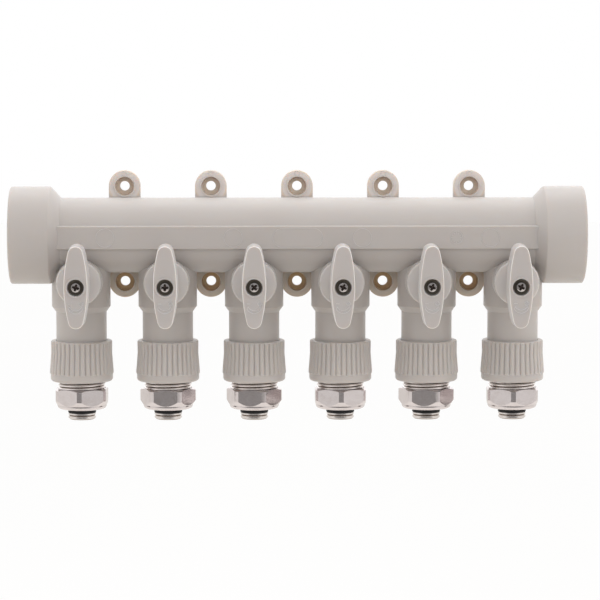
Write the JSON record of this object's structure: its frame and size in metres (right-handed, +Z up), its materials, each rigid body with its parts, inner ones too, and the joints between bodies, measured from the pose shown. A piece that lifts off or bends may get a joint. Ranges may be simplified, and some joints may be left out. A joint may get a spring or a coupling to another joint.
{
  "type": "distribution manifold",
  "caption": "Moulded plastic water manifold with a pipe socket at each end, wall lugs, and a row of quarter-turn ball valves over ribbed collars, plated hex nuts and pipe nipples.",
  "frame": {"origin": "on the wall plane, at the middle of the back face of the middle pair of lugs", "axes": "+X along the header to the right as seen from the front, -Y to the front where the handles are, +Z up"},
  "size_m": [0.3174, 0.0788, 0.138],
  "materials": {
    "ppr_grey": "satin moulded polypropylene",
    "handle_grey": "satin moulded polypropylene",
    "nickel_plate": "satin nickel plate on brass",
    "brass_stem": "turned brass",
    "chrome_ball": "polished chrome plate on brass",
    "screw_steel": "dark zinc-plated steel",
    "ptfe": "white fluoropolymer",
    "seal_rubber": "black rubber"
  },
  "bodies": {
    "manifold": {"manifold_body": "ppr_grey", "bonnet_1": "ppr_grey", "bonnet_2": "ppr_grey", "bonnet_3": "ppr_grey", "bonnet_4": "ppr_grey", "bonnet_5": "ppr_grey", "bonnet_6": "ppr_grey", "outlet_collar_1": "ppr_grey", "outlet_collar_2": "ppr_grey", "outlet_collar_3": "ppr_grey", "outlet_collar_4": "ppr_grey", "outlet_collar_5": "ppr_grey", "outlet_collar_6": "ppr_grey", "outlet_insert_1": "nickel_plate", "outlet_insert_2": "nickel_plate", "outlet_insert_3": "nickel_plate", "outlet_insert_4": "nickel_plate", "outlet_insert_5": "nickel_plate", "outlet_insert_6": "nickel_plate", "hex_nut_1": "nickel_plate", "hex_nut_2": "nickel_plate", "hex_nut_3": "nickel_plate", "hex_nut_4": "nickel_plate", "hex_nut_5": "nickel_plate", "hex_nut_6": "nickel_plate", "pipe_nipple_1": "nickel_plate", "pipe_nipple_2": "nickel_plate", "pipe_nipple_3": "nickel_plate", "pipe_nipple_4": "nickel_plate", "pipe_nipple_5": "nickel_plate", "pipe_nipple_6": "nickel_plate", "ball_seats": "ptfe", "stem_seals": "seal_rubber", "nipple_seals": "seal_rubber", "split_rings": "brass_stem"},
    "valve_1": {"handle_1": "handle_grey", "stem_1": "brass_stem", "ball_1": "chrome_ball", "handle_screw_1": "screw_steel"},
    "valve_2": {"handle_2": "handle_grey", "stem_2": "brass_stem", "ball_2": "chrome_ball", "handle_screw_2": "screw_steel"},
    "valve_3": {"handle_3": "handle_grey", "stem_3": "brass_stem", "ball_3": "chrome_ball", "handle_screw_3": "screw_steel"},
    "valve_4": {"handle_4": "handle_grey", "stem_4": "brass_stem", "ball_4": "chrome_ball", "handle_screw_4": "screw_steel"},
    "valve_5": {"handle_5": "handle_grey", "stem_5": "brass_stem", "ball_5": "chrome_ball", "handle_screw_5": "screw_steel"},
    "valve_6": {"handle_6": "handle_grey", "stem_6": "brass_stem", "ball_6": "chrome_ball", "handle_screw_6": "screw_steel"}
  },
  "joints": [
    {"name": "valve_1_turn", "type": "hinge", "parent": "manifold", "child": "valve_1", "pos_m": [-0.12, -0.0275, -0.0247], "axis": [0, 1, 0], "range_deg": [0, 90]},
    {"name": "valve_2_turn", "type": "hinge", "parent": "manifold", "child": "valve_2", "pos_m": [-0.072, -0.0275, -0.0247], "axis": [0, 1, 0], "range_deg": [0, 90]},
    {"name": "valve_3_turn", "type": "hinge", "parent": "manifold", "child": "valve_3", "pos_m": [-0.024, -0.0275, -0.0247], "axis": [0, 1, 0], "range_deg": [0, 90]},
    {"name": "valve_4_turn", "type": "hinge", "parent": "manifold", "child": "valve_4", "pos_m": [0.024, -0.0275, -0.0247], "axis": [0, 1, 0], "range_deg": [0, 90]},
    {"name": "valve_5_turn", "type": "hinge", "parent": "manifold", "child": "valve_5", "pos_m": [0.072, -0.0275, -0.0247], "axis": [0, 1, 0], "range_deg": [0, 90]},
    {"name": "valve_6_turn", "type": "hinge", "parent": "manifold", "child": "valve_6", "pos_m": [0.12, -0.0275, -0.0247], "axis": [0, 1, 0], "range_deg": [0, 90]}
  ]
}
